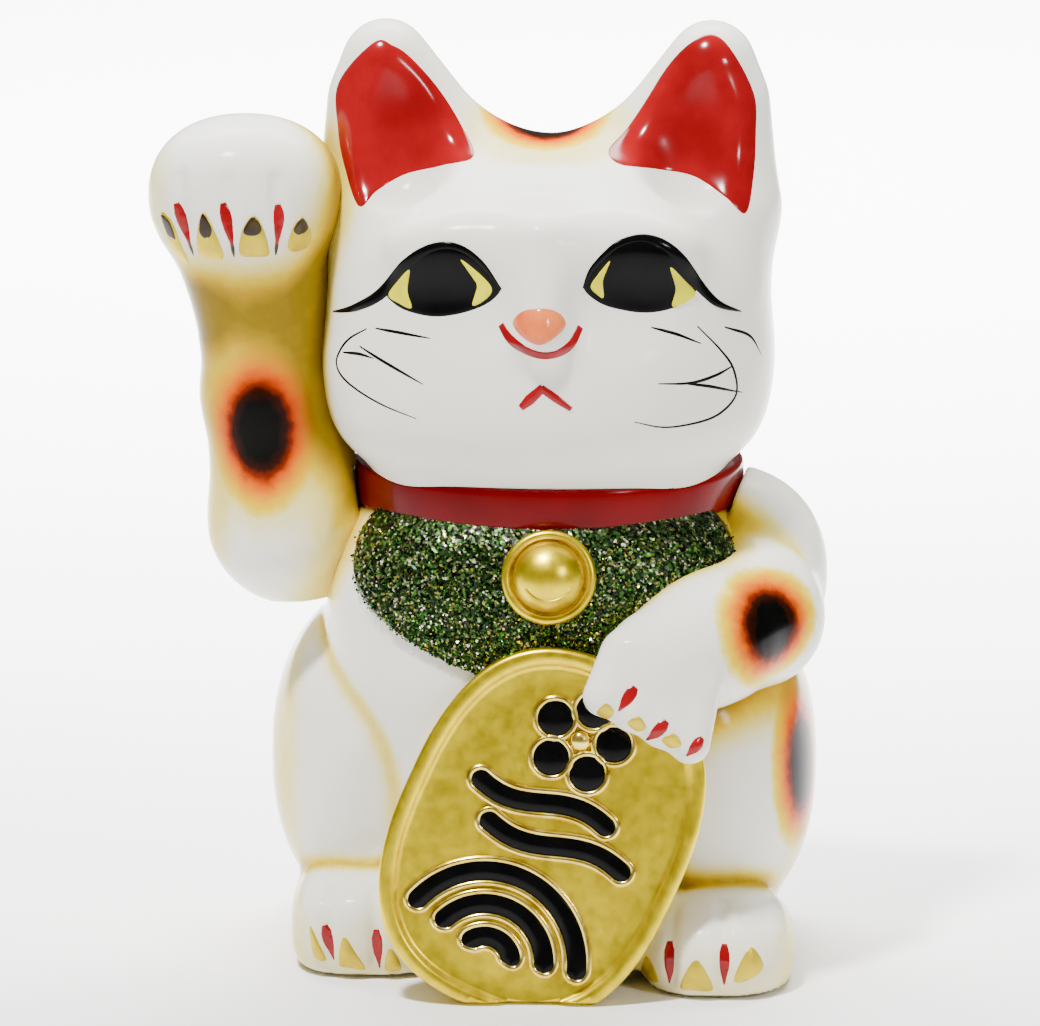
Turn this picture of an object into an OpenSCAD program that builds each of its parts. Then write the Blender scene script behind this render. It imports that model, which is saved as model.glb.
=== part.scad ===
// Beckoning cat figurine: a hollow slip-cast earthenware bank. The cat sits upright and
// faces -Y, with its right paw raised at -X and its left paw on an oval gold coin.
// Millimetres, +Z up. The origin is the middle of the base, on the surface it stands on.

/* [Casting] */
// Wall thickness of the hollow castings
wall = 5; // [4:0.5:6]
// Width across the haunches
haunch_w = 136; // [132:1:140]
// Width of the chest, below the shoulders
chest_w = 110; // [106:1:114]
// Height of the flat joint between torso and head
neck_z = 121; // [120:0.5:122]

/* [Head] */
// Width of the head across the cheeks
head_w = 112; // [108:1:116]
// Height of the ear tips, which is the height of the whole cat
ear_tip_z = 232; // [229:1:236]
// Distance of each ear tip from the middle
ear_tip_x = 39.5; // [38:0.5:41]

/* [Collar, bib and bell] */
// Outer width of the collar
collar_w = 97; // [96:0.5:99]
// Height of the collar band
collar_h = 10.5; // [10:0.5:12]
// Depth of the bib from its top under the collar to its lowest point
bib_drop = 38; // [36:1:40]
// Thickness of the glitter coat, part of which is sunk in the clay
bib_t = 3; // [2:0.5:3]
// Outer radius of the bell's ring
bell_r = 11.6; // [10:0.2:12]

/* [Coin] */
// Length of the coin
coin_len = 90.5; // [88:0.5:92]
// Width of the coin
coin_w = 71; // [69:0.5:73]
// Thickness of the coin at its rim
coin_t = 8; // [7:0.5:9]
// Turn of the coin in its own plane, clockwise as seen from the front
coin_turn = 24; // [20:1:28]
// Backward lean of the coin
coin_lean = 9; // [7:0.5:10]

/* [Base and stopper] */
// Radius of the disc that closes the base
base_r = 40; // [39:0.5:40]
// Thickness of that disc
base_t = 6; // [6:0.5:8]
// Radius of the stopper's plug
plug_r = 19; // [15:0.5:20]
// Length of the plug inside the bank
plug_len = 11; // [8:0.5:14]
// Width of the coin slot in the back
slot_w = 38; // [34:0.5:40]
// Height of the coin slot
slot_h = 5; // [4.6:0.1:5.5]

/* [Hidden] */

clay_fn = 24;            // facets round a clay form
toe_fn = 18;             // facets round a toe
foot_gap = 1;            // the clay stops this far above the table, and the disc stands on it
haunch_x = 36;           // middle of a haunch
foot_x = 43;             // middle of a hind foot
right_haunch_back = 8;   // how much further back the right haunch is than the left one
right_foot_back = 18;    // how much further back the right hind foot is than the left one
slot_at = [0, 40, 98];   // middle of the coin slot, in the back
slot_depth = 30;         // how far the slot's cut runs through the wall
vent_r = 4;              // hole through the neck joint that lets air out of the head in the kiln
reach = 300;             // longer than anything it cuts

collar_z = 112.5;        // lower edge of the collar
collar_t = 7;            // thickness of the collar, half of it proud of the clay
collar_flat = 0.88;      // depth of the collar over its width
collar_step = 2;         // height of each stepped edge
bib_top = 113.5;         // upper edge of the bib, under the collar
bib_half = 44.5;         // half width of the bib at its top
chest_from = 116;        // height from which the chest swells downwards
chest_to = 89;           // height where it is fullest
bell_at = [1.7, -45.5, 102];
bell_tilt = 75;          // angle of the bell's axis from upright
bell_rim = 2;            // radius of the bell's rolled rim

coin_at = [0.5, -55, 40];
coin_power = 2.6;        // 2 makes the coin an ellipse, and more makes its sides straighter
rim_w = 4;               // width of the coin's raised rim
field_depth = 1.5;       // depth of the sunk field inside the rim
field_z = coin_t - field_depth;
bed_t = 14;              // depth of the clay behind the coin
bed_inset = 3;           // how far that clay stays inside the coin's outline
relief_h = 1.6;          // height of the ornament above the field
bar_w = 6;               // width of the ornament's bars
petal_r = 5;
petal_out = 8.2;         // distance of each petal from the blossom's middle

plug_gap = 0.05;         // running clearance of the plug in its hole
flange_r = plug_r + 4.5;
flange_t = 2.4;
flange_z = 0.6;          // the stopper's flange stays this far above the table
recess_r = flange_r + 0.5;
nail_r = 6;              // fingernail notches at the edge of the recess

// An ellipsoid of clay at a point, with its three radii, all less a given inset
module blob(at, radii, inset = 0, fn = clay_fn)
    translate(at) scale([for (r = radii) r - inset]) sphere(r = 1, $fn = fn);

// The same form on the left and on the right
module pair() {
    children();
    mirror([1, 0, 0]) children();
}

// A number raised to a power, with its own sign
function signed_pow(v, power) = sign(v) * pow(abs(v), power);

// The outline of an oval with these half widths; a power over 2 fills out its corners
function oval(a, b, power = 2, n = 120) = [for (i = [0 : n - 1])
    [a * signed_pow(cos(360 * i / n), 2 / power), b * signed_pow(sin(360 * i / n), 2 / power)]];

// Everything above a height
module above(z) translate([-reach / 2, -reach / 2, z]) cube(reach);

// ---- torso ----

module trunk(inset) hull() {
    blob([0, -1, 108], [46, 39, 15], inset);
    blob([0, -3, 90], [chest_w / 2, 44, 28], inset);
    blob([0, -3, 46], [50, 50, 40], inset);
    blob([0, 1, 10], [52, 49, 24], inset);
}

module haunch(inset) hull() {
    blob([haunch_x, 6, 51], [haunch_w / 2 - haunch_x, 44, 40], inset);
    blob([haunch_x - 2, 7, 14], [haunch_w / 2 - haunch_x - 3, 40, 24], inset);
}

module hind_foot(inset) hull() {
    blob([foot_x, -44, 12], [19.5, 18, 15], inset);
    blob([foot_x, -16, 15], [18, 19, 14], inset);
}

// A form of the left side, and its copy on the right, set further back
module sides(right_back) {
    children();
    translate([0, right_back, 0]) mirror([1, 0, 0]) children();
}

module torso_form(inset) {
    trunk(inset);
    sides(right_haunch_back) haunch(inset);
    sides(right_foot_back) hind_foot(inset);
}

// Clay behind the coin, which joins it to the belly
module coin_bed() on_coin() translate([0, 0, -bed_t]) coin_blank(bed_inset, bed_t);

module torso_casting() color("white") difference() {
    intersection() {
        union() {
            torso_form(0);
            coin_bed();
        }
        above(foot_gap);
        translate([0, 0, neck_z - reach]) above(0);
    }
    intersection() {
        torso_form(wall);
        above(base_t);
    }
    cylinder(r = base_r, h = 2 * base_t, center = true, $fn = 96);
    translate(slot_at) cube([slot_w, slot_depth, slot_h], center = true);
    translate([0, 0, neck_z]) cylinder(r = vent_r, h = 4 * wall, center = true, $fn = 24);
}

// ---- head ----

module skull(inset) hull() pair() {
    blob([head_w / 2 - 24, -8, 142], [24, 37, 23], inset);
    blob([head_w / 2 - 32, 0, 169], [32, 38, 34], inset);
    blob([22, 6, 133], [22, 32, 15], inset);
}

module muzzle(inset) hull() {
    blob([0, -27, 146], [30, 28, 24], inset);
    blob([0, -12, 160], [40, 34, 30], inset);
}

// One ear: a broad root on the crown that rises to a rounded tip
module ear() {
    tip = [ear_tip_x, 1, ear_tip_z - 9];
    middle = [26, 2, 192];
    hull() {
        blob([46, 2, 187], [8.5, 9, 9]);
        blob([45, 2, 207], [9, 7.5, 9]);
        blob(middle, [9, 9, 9]);
        blob(tip, [9, 6.5, 9]);
    }
    hull() {
        blob(middle, [9, 9, 9]);
        blob([14, 2, 196], [8, 8, 7]);
        blob(tip, [9, 6.5, 9]);
    }
}

module head_casting() color("white") difference() {
    intersection() {
        union() {
            skull(0);
            muzzle(0);
            pair() ear();
        }
        above(neck_z);
    }
    intersection() {
        union() {
            skull(wall);
            muzzle(wall);
        }
        above(neck_z + wall);
    }
    translate([0, 0, neck_z]) cylinder(r = vent_r, h = 4 * wall, center = true, $fn = 24);
}

// ---- arms ----

// A limb of stations, each [point, radii], with its neighbours joined smoothly
module limb(stations, inset = 0)
    for (i = [0 : len(stations) - 2]) hull() {
        blob(stations[i][0], stations[i][1], inset);
        blob(stations[i + 1][0], stations[i + 1][1], inset);
    }

// What an arm is cut to fit, so that it meets the body face to face
module luted_to() {
    trunk(0);
    skull(0);
}

raised_stations = [
    [[-43, 4, 101], [13, 14, 14]],
    [[-63, -5, 110], [21.5, 19, 21.5]],
    [[-69, -8, 139], [16.5, 17, 16]],
    [[-69.5, -9, 168], [16, 16, 12]],
    [[-74, -12, 190.5], [24, 21, 19.5]]
];

module raised_arm() color("white") difference() {
    limb(raised_stations);
    limb(raised_stations, wall);
    luted_to();
}

lowered_stations = [
    [[43, -1, 98], [23, 18, 20]],
    [[51.5, -15, 88.5], [18, 18, 18]],
    [[41, -38, 86], [17, 16, 17]],
    [[30, -53, 82.5], [16, 13, 15]]
];

// Four toes side by side on the coin: each runs from a knuckle to its own tip
module toes() for (i = [-1.5 : 1.5]) hull() {
    blob([29, -59, 81] + i * [5.5, 0, -3], [6.5, 6.5, 6.5], fn = toe_fn);
    blob([26, -65, 71] + i * [7, 0.5, -4], [5, 5, 5], fn = toe_fn);
}

module lowered_arm() color("white") difference() {
    union() {
        limb(lowered_stations);
        toes();
    }
    limb(lowered_stations, wall);
    luted_to();
}

// A short bobtail, set low on the back
module tail() color("white") hull() {
    blob([10, 50, 18], [13, 10, 12]);
    blob([16, 57, 27], [9, 8, 9]);
}

// ---- collar, bib and bell ----

module collar_ring(inset, h) linear_extrude(h) difference() {
    polygon(oval(collar_w / 2 - inset, collar_flat * (collar_w / 2 - inset)));
    polygon(oval(collar_w / 2 - collar_t, collar_flat * (collar_w / 2 - collar_t)));
}

// A band whose two edges are stepped back a little
module collar_band() color("firebrick") translate([0, 0, collar_z]) {
    collar_ring(1, collar_h);
    translate([0, 0, collar_step]) collar_ring(0, collar_h - 2 * collar_step);
}

// Half widths of the bib's outer surface along X and Y at a height: the chest swells downwards
function bib_girth(z) =
    let (t = min(1, (chest_from - z) / (chest_from - chest_to))) [49 + 8 * t, 41 + 8.5 * t];

// A point of the bib, u from -1 to 1 across and v from 0 to 1 down, and how far it is sunk
function bib_point(u, v, sunk) =
    let (z = bib_top - bib_drop * v,
         half = bib_half * pow(1 - pow(v, 2.4), 0.56),
         girth = bib_girth(z),
         x = half * u)
    [x * (1 - sunk / girth[0]), -(girth[1] - sunk) * sqrt(1 - pow(x / girth[0], 2)), z];

// A closed sheet: a grid of points on its outer face, and the same grid sunk behind it
module glitter_bib() {
    across = 20;
    down = 12;
    row = across + 1;
    layer = row * (down + 1);
    points = [for (sunk = [0, bib_t], j = [0 : down], i = [0 : across])
        bib_point(2 * i / across - 1, 0.99 * j / down, sunk)];
    quads = [for (j = [0 : down - 1], i = [0 : across - 1]) [j * row + i, j * row + i + 1,
        (j + 1) * row + i + 1, (j + 1) * row + i]];
    edge = concat(
        [for (i = [0 : across - 1]) [i + 1, i]],
        [for (i = [0 : across - 1]) [down * row + i, down * row + i + 1]],
        [for (j = [0 : down - 1]) [j * row, (j + 1) * row]],
        [for (j = [0 : down - 1]) [(j + 1) * row + across, j * row + across]]);
    faces = concat(
        quads,
        [for (q = quads) [for (k = [3 : -1 : 0]) q[k] + layer]],
        [for (e = edge) [e[0], e[1], e[1] + layer, e[0] + layer]]);
    color("darkgreen") polyhedron(points, [for (f = faces) each
        [for (i = [1 : len(f) - 2]) [f[0], f[i], f[i + 1]]]]);
}

// A ring that holds a dome, turned on its own axis and set on the chest
module bell() color("gold") translate(bell_at) rotate([bell_tilt, 0, 0]) rotate_extrude($fn = 64) {
    dome_r = bell_r * 0.76;
    square([bell_r, bell_rim]);
    translate([bell_r - bell_rim, bell_rim]) circle(r = bell_rim, $fn = 32);
    intersection() {
        translate([0, bell_rim]) scale([1, 0.88]) circle(r = dome_r, $fn = 64);
        square([dome_r, dome_r + bell_rim]);
    }
}

// ---- coin ----

// The coin's own frame: Z out of its face, Y along its length, the origin on its back
module on_coin()
    translate(coin_at) rotate([90 - coin_lean, 0, 0]) rotate([0, 0, -coin_turn]) children();

module coin_blank(inset, h)
    linear_extrude(h) polygon(oval(coin_w / 2 - inset, coin_len / 2 - inset, coin_power));

// The coin stands on the table, and its lowest edge is cut off flat there
module koban_coin() color("gold") intersection() {
    on_coin() difference() {
        coin_blank(0, coin_t);
        translate([0, 0, field_z]) coin_blank(rim_w, coin_t);
    }
    above(foot_gap);
}

// The points of an arc about a centre, from one angle through a sweep
function arc(centre, r, start, sweep, n) =
    [for (i = [0 : n]) centre + r * [cos(start + sweep * i / n), sin(start + sweep * i / n)]];

// A bar bent to an arc about the origin, with round ends
module wave_arc(r, start = 12, sweep = 156) polygon(concat(
    arc([0, 0], r + bar_w / 2, start, sweep, 24),
    arc(r * [cos(start + sweep), sin(start + sweep)], bar_w / 2, start + sweep + 20, 140, 6),
    arc([0, 0], r - bar_w / 2, start + sweep, -sweep, 24),
    arc(r * [cos(start), sin(start)], bar_w / 2, start + 200, 140, 6)));

// A band of mist: a bar along one turn of a sine wave, with round ends
module mist_band(half, rise, n = 32) polygon(concat(
    [for (i = [-n : n]) [half * i / n, bar_w / 2 + rise * sin(180 * i / n)]],
    arc([half, 0], bar_w / 2, 70, -140, 6),
    [for (i = [n : -1 : -n]) [half * i / n, rise * sin(180 * i / n) - bar_w / 2]],
    arc([-half, 0], bar_w / 2, 250, -140, 6)));

// Five petals round an eye
module blossom() {
    for (a = [90 : 72 : 378]) rotate(a) translate([petal_out, 0]) circle(r = petal_r, $fn = 48);
    circle(r = petal_out - 0.7 * petal_r, $fn = 48);
}

// A blossom over two bands of mist, over a fan of three nested wave arcs
module koban_relief() color("black") on_coin() translate([0, 0, field_z]) linear_extrude(relief_h) {
    translate([-1, 25]) blossom();
    translate([-3, 7.5]) mist_band(19, 2.2);
    translate([4, -1]) mist_band(20, 2.2);
    for (r = [6.5, 14.5, 22.5]) translate([0, -34]) wave_arc(r);
}

// ---- base and stopper ----

module base_plate() color("tan") difference() {
    cylinder(r = base_r, h = base_t, $fn = 96);
    translate([0, 0, -1]) cylinder(r = plug_r, h = base_t + 2, $fn = 96);
    translate([0, 0, -1]) cylinder(r = recess_r, h = 1 + flange_z + flange_t, $fn = 96);
    for (side = [-1, 1]) translate([side * recess_r, 0, -1])
        cylinder(r = nail_r, h = 1 + flange_z + flange_t, $fn = 48);
}

module stopper() color("dimgray") {
    translate([0, 0, flange_z]) cylinder(r = flange_r, h = flange_t, $fn = 96);
    translate([0, 0, flange_z + flange_t]) difference() {
        cylinder(r = plug_r - plug_gap, h = plug_len, $fn = 96);
        translate([0, 0, 2]) cylinder(r = plug_r - 5, h = plug_len, $fn = 96);
    }
}

torso_casting();
head_casting();
raised_arm();
lowered_arm();
tail();
collar_band();
glitter_bib();
bell();
koban_coin();
koban_relief();
base_plate();
stopper();
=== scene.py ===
"""Looks of the beckoning cat: glazed, hand-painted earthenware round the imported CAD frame.

Clay forms are smooth fields of distance, meshed and settled on their own surface. Paint is
thin raised enamel laid on those surfaces. Lengths in this script are millimetres.
"""
import math

import bmesh
import bpy
import numpy as np
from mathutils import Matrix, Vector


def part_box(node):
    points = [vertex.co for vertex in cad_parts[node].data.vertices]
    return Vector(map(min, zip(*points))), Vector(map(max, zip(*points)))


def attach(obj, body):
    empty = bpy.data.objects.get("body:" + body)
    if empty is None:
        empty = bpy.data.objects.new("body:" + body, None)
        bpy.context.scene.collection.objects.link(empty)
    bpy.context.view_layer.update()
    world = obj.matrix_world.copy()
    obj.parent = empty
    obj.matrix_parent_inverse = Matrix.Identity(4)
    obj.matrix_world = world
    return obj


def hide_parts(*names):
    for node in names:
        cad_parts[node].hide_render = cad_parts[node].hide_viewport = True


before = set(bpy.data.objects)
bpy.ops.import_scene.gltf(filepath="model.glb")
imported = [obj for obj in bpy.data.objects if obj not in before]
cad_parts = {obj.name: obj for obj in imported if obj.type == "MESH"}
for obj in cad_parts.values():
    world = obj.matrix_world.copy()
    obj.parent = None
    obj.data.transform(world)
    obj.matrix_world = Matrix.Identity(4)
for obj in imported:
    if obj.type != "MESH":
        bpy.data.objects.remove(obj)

import openvdb
from mathutils import Matrix, Vector

MM = 0.001
X, Y, Z = 0, 1, 2
CAT = "cat"
AZIMUTH, ELEVATION = math.radians(2), math.radians(12)      # the photograph's viewing angle
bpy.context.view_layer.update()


# ---------------------------------------------------------------- fields of distance

def ellipsoid(centre, radii, power=2.0):
    """A rounded form: power 2 is an ellipsoid, and a higher power is boxier."""
    centre, radii = np.array(centre, float), np.array(radii, float)

    def field(p):
        q = np.abs(p - centre) / radii
        k = np.maximum((q ** power).sum(1), 1e-9) ** (1 / power)
        slope = np.sqrt((((q / k[:, None]) ** (power - 1) / radii) ** 2).sum(1))
        return (k - 1) / slope
    return field


def bone(a, b, ra, rb):
    """A straight limb with round ends, from radius ra at a to rb at b."""
    a, b = np.array(a, float), np.array(b, float)
    along = b - a

    def field(p):
        t = np.clip((p - a) @ along / (along @ along), 0, 1)
        return np.linalg.norm(p - a - t[:, None] * along, axis=1) - (ra + t * (rb - ra))
    return field


def plate(corners, radii):
    """A triangle thickened by a radius at each corner."""
    corners = np.array(corners, float)
    a, b, c = corners
    normal = np.cross(b - a, c - a)
    normal /= np.linalg.norm(normal)
    system = np.linalg.pinv(np.stack([b - a, c - a], 1))

    def field(p):
        uv = (p - a) @ system.T
        weights = np.column_stack([1 - uv.sum(1), uv])
        inside = (weights >= 0).all(1)
        best = np.where(inside, np.abs((p - a) @ normal), np.inf)
        where = np.where(inside[:, None], weights, 0)
        for i, j in ((0, 1), (1, 2), (2, 0)):
            edge = corners[j] - corners[i]
            t = np.clip((p - corners[i]) @ edge / (edge @ edge), 0, 1)
            d = np.linalg.norm(p - corners[i] - t[:, None] * edge, axis=1)
            nearer = d < best
            best = np.where(nearer, d, best)
            w = np.zeros((len(p), 3))
            w[:, i], w[:, j] = 1 - t, t
            where = np.where(nearer[:, None], w, where)
        return best - where @ np.array(radii, float)
    return field


def join(soft, *fields):
    """The union of fields, with a fillet about as wide as soft."""
    def field(p):
        d = fields[0](p)
        for other in fields[1:]:
            e = other(p)
            h = np.maximum(soft - np.abs(d - e), 0)
            d = np.minimum(d, e) - h * h / (4 * soft)
        return d
    return field


def carve(soft, body, *tools):
    """The body less its tools, with edges softened over about soft."""
    def field(p):
        d = body(p)
        for tool in tools:
            e = -tool(p)
            h = np.maximum(soft - np.abs(d - e), 0)
            d = np.maximum(d, e) + h * h / (4 * soft)
        return d
    return field


def tilted(field, centre, degrees):
    """The field turned about a level line along X through a point, its top going back."""
    centre, turn = np.array(centre, float), np.array(Matrix.Rotation(math.radians(degrees), 3, "X"))
    return lambda p: field((p - centre) @ turn.T + centre)


def mirrored(field):
    """The field reflected left to right."""
    return lambda p: field(p * np.array([-1, 1, 1]))


def slab(axis, low, high):
    """Everything between two parallel planes."""
    return lambda p: np.maximum(low - p[:, axis], p[:, axis] - high)


def both(*fields):
    """Where all the fields are solid."""
    return lambda p: np.max([f(p) for f in fields], axis=0)


def spline(points, n, closed=False):
    """A smooth curve through points."""
    p = np.array(points, float)
    q = np.concatenate([p[-1:], p, p[:2]] if closed else [2 * p[:1] - p[1:2], p, 2 * p[-1:] - p[-2:-1]])
    t = np.linspace(0, len(q) - 3, n, endpoint=not closed)
    i = np.minimum(t.astype(int), len(q) - 4)
    f = (t - i)[:, None]
    a, b, c, d = q[i], q[i + 1], q[i + 2], q[i + 3]
    return (2 * b + (c - a) * f + (2 * a - 5 * b + 4 * c - d) * f ** 2 + (3 * b - a - 3 * c + d) * f ** 3) / 2


def gradient(field, p, h=0.05):
    """The field's unit gradient and its full gradient at points p."""
    g = np.column_stack([field(p + d) - field(p - d) for d in np.eye(3) * h]) / (2 * h)
    return g / np.maximum(np.linalg.norm(g, axis=1), 1e-6)[:, None], g


RAY_START, RAY_ROUNDS = 95.0, 90          # how far out a line starts, and its steps


def march(field, p, step):
    """Where lines from points p, along step, first meet the surface."""
    for _ in range(RAY_ROUNDS):
        p = p + (np.clip(field(p), -3, 6) * 0.75)[:, None] * step
    return p


def front(field, xz, fall=0.0, pivot=0.0):
    """Where lines going back, and down by a slope of fall, first meet the surface.

    The points (x, z) are where the lines pass the depth y = pivot.
    """
    x, z = np.array(xz).T
    start = np.column_stack([x, np.full(len(x), -RAY_START), z + fall * (RAY_START + pivot)])
    return march(field, start, np.array([0, 1, -fall]))


def inward(field, angles, heights):
    """Where level lines towards the middle axis first meet the surface."""
    out = np.column_stack([np.sin(angles), -np.cos(angles), np.zeros(len(angles))])
    start = out * RAY_START + np.column_stack([np.zeros((len(angles), 2)), heights])
    return march(field, start, -out)


def groove(field, path, r):
    """A thin tool along a path (x, z) on the surface."""
    line = front(field, spline(path, 6))
    return join(0.5, *[bone(a, b, r, r) for a, b in zip(line, line[1:])])


def settle(field, p, rounds=3):
    """Moves points onto the field's surface."""
    for _ in range(rounds):
        _, g = gradient(field, p)
        p = p - np.clip(field(p) / np.maximum((g * g).sum(1), 0.05), -2, 2)[:, None] * g
    return p


# ---------------------------------------------------------------- meshes

def mesh_object(name, parts, material, smooth=True, outward=True):
    """One object of closed parts, each (points, faces), in millimetres."""
    points, faces, start = [], [], 0
    for p, f in parts:
        points.append(np.asarray(p, float))
        faces += [tuple(int(i) + start for i in face) for face in f]
        start += len(p)
    mesh = bpy.data.meshes.new(name)
    mesh.from_pydata((np.concatenate(points) * MM).tolist(), [], faces)
    mesh.validate()
    if outward:
        bm = bmesh.new()
        bm.from_mesh(mesh)
        bmesh.ops.recalc_face_normals(bm, faces=bm.faces)
        bm.to_mesh(mesh)
        bm.free()
    mesh.update()
    if smooth:
        mesh.shade_smooth()
    mesh.materials.append(material)
    obj = bpy.data.objects.new(name, mesh)
    bpy.context.scene.collection.objects.link(obj)
    return obj


def piece(name, parts, material, slot, *nodes, **options):
    """A piece of the cat, which may stand for CAD nodes."""
    obj = mesh_object(name, parts, material, **options)
    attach(obj, CAT)
    if nodes:
        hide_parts(*nodes)
    return obj


def add_attribute(obj, name, values):
    layer = obj.data.attributes.new(name, "FLOAT", "POINT")
    layer.data.foreach_set("value", np.asarray(values, np.float32))


def surface(field, low, high, step):
    """Evenly spaced points and quads on the surface of a field inside a box."""
    low, high = np.array(low, float), np.array(high, float)
    counts = np.ceil((high - low) / step).astype(int) + 1
    grid = low + step * np.indices(counts).reshape(3, -1).T
    values = np.concatenate([field(part) for part in np.array_split(grid, 1 + len(grid) // 200000)])
    volume = openvdb.FloatGrid()
    volume.background = 3 * step
    volume.copyFromArray(values.reshape(counts).astype(np.float32))
    points, quads = volume.convertToQuads(isovalue=0.0)
    points = low + step * points.astype(float)
    quads = quads.astype(int)
    for _ in range(3):
        total, count = np.zeros_like(points), np.zeros(len(points))
        for k in range(4):
            np.add.at(total, quads[:, k], points[quads[:, (k + 1) % 4]])
            np.add.at(total, quads[:, (k + 1) % 4], points[quads[:, k]])
            np.add.at(count, quads[:, k], 1)
            np.add.at(count, quads[:, (k + 1) % 4], 1)
        points = settle(field, 0.5 * points + 0.5 * total / count[:, None], 1)
    return settle(field, points, 2), quads[:, ::-1]


def clay(name, node, field, step, airbrush_and_shade, spots=(), margin=9):
    """A clay piece for a CAD node, meshed in that node's box with a margin.

    Its yellow airbrushing, partly painted shade, is a field, and spots given as (centre, radii).
    """
    low, high = (np.array(corner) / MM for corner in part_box(node))
    points, quads = surface(field, low - margin, high + margin, step)
    obj = piece(name, [(points, quads)], GLAZE, "white_glaze", node, outward=False)
    reach = [np.linalg.norm((points - np.array(c)) / np.array(r), axis=1) for c, r in spots]
    add_attribute(obj, "spot", np.min([np.full(len(points), 2.0), *reach], axis=0))
    add_attribute(obj, "airbrush_and_shade", np.clip(airbrush_and_shade(points), 0, 1))


# ---------------------------------------------------------------- skins of paint

ACROSS = np.array([-1, -0.9, -0.6, 0, 0.6, 0.9, 1])
SUNK = 0.15              # how far a skin of paint reaches into what it lies on


def layers(top, low, quads, edge):
    """A closed part of an upper and a lower sheet with the same faces, joined round their edge."""
    n = len(top)
    faces = [*quads, *[tuple(i + n for i in q)[::-1] for q in quads],
             *[(a, b, b + n, a + n) for a, b in edge]]
    return np.concatenate([top, low]), faces


def strip(field, line, widths, lift=0.2, base=0.0):
    """A brush stroke along points on a field, with its width given evenly along it."""
    n, m = len(line), len(ACROSS)
    along = np.gradient(line, axis=0)
    side = np.cross(along, gradient(field, line)[0])
    side /= np.linalg.norm(side, axis=1)[:, None]
    half = np.interp(np.linspace(0, 1, n), np.linspace(0, 1, len(widths)), widths) / 2
    grid = line[:, None] + side[:, None] * half[:, None, None] * ACROSS[None, :, None]
    flat = settle(field, grid.reshape(-1, 3), 2)
    normal = gradient(field, flat)[0]
    rise = lift * np.sqrt(1 - ACROSS ** 2)[None] * np.minimum(1, half / 0.5)[:, None]
    quads = [(i * m + j, i * m + j + 1, i * m + m + j + 1, i * m + m + j)
             for i in range(n - 1) for j in range(m - 1)]
    ring = [*range(m), *[i * m + m - 1 for i in range(1, n)], *range(n * m - 2, (n - 1) * m - 1, -1),
            *[i * m for i in range(n - 2, 0, -1)]]
    return layers(flat + normal * (base + rise.reshape(-1, 1)), flat + normal * (base - SUNK), quads,
                  list(zip(ring, ring[1:] + ring[:1])))


def stroke(field, path, widths, n=30, **options):
    return strip(field, front(field, spline(path, n)), widths, **options)


def fill(field, place, edge, lift, base, dome=0.0, rings=8):
    """A patch inside a closed edge of plane points, which place() puts on the field."""
    n, middle = len(edge), edge.mean(0)
    r = np.sin(np.linspace(0, math.pi / 2, rings + 1))[1:]
    plane = np.concatenate([[middle], (middle + (edge - middle) * r[:, None, None]).reshape(-1, 2)])
    flat = place(plane)
    normal = gradient(field, flat)[0]
    rise = np.concatenate([[lift + dome], np.repeat(lift * np.sqrt(1 - r ** 8) + dome * (1 - r ** 2), n)])
    ring = [[1 + k * n + i for i in range(n)] for k in range(rings)]
    quads = [(0, ring[0][i], ring[0][(i + 1) % n]) for i in range(n)]
    quads += [(ring[k][i], ring[k + 1][i], ring[k + 1][(i + 1) % n], ring[k][(i + 1) % n])
              for k in range(rings - 1) for i in range(n)]
    edge_pairs = [(ring[-1][i], ring[-1][(i + 1) % n]) for i in range(n)]
    return layers(flat + normal * (base + rise[:, None]), flat + normal * (base - SUNK), quads, edge_pairs)


def patch(field, outline, lift=0.2, base=0.0, n=72, fall=0.0, pivot=0.0, **options):
    return fill(field, lambda xz: front(field, xz, fall, pivot), spline(outline, n, closed=True), lift, base,
                **options)


def tube(line, r, sides=8, closed=False):
    """A round bead along a line, capped shut at its ends unless it closes on itself."""
    n = len(line)
    along = np.roll(line, -1, 0) - np.roll(line, 1, 0) if closed else np.gradient(line, axis=0)
    along /= np.linalg.norm(along, axis=1)[:, None]
    up = np.cross(along, [0.31, 0.17, 0.93])
    up /= np.linalg.norm(up, axis=1)[:, None]
    over = np.cross(along, up)
    a = np.linspace(0, 2 * math.pi, sides, endpoint=False)
    r = np.broadcast_to(r, n)
    points = (line[:, None] + r[:, None, None] * (up[:, None] * np.cos(a)[None, :, None]
                                                  + over[:, None] * np.sin(a)[None, :, None])).reshape(-1, 3)
    last = n if closed else n - 1
    faces = [(i * sides + j, i * sides + (j + 1) % sides, (i + 1) % n * sides + (j + 1) % sides,
              (i + 1) % n * sides + j) for i in range(last) for j in range(sides)]
    if not closed:
        faces += [tuple(range(sides))[::-1], tuple(range((n - 1) * sides, n * sides))]
    return points, faces


def turned(profile, sides=96):
    """A solid of revolution about Z from (r, z) points, the first and last of them on the axis."""
    rim = np.array(profile[1:-1], float)
    a = np.linspace(0, 2 * math.pi, sides, endpoint=False)
    ring = np.column_stack([np.cos(a), np.sin(a)])
    points = [[0, 0, profile[0][1]], *[[r * c, r * s, z] for r, z in rim for c, s in ring],
              [0, 0, profile[-1][1]]]
    m, end = len(rim), 1 + len(rim) * sides
    faces = [(0, 1 + (j + 1) % sides, 1 + j) for j in range(sides)]
    faces += [(1 + i * sides + j, 1 + i * sides + (j + 1) % sides, 1 + (i + 1) * sides + (j + 1) % sides,
               1 + (i + 1) * sides + j) for i in range(m - 1) for j in range(sides)]
    faces += [(end, 1 + (m - 1) * sides + j, 1 + (m - 1) * sides + (j + 1) % sides) for j in range(sides)]
    return np.array(points, float), faces


def posed(part, place):
    return place(np.asarray(part[0], float)), part[1]


# ---------------------------------------------------------------- materials

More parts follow.
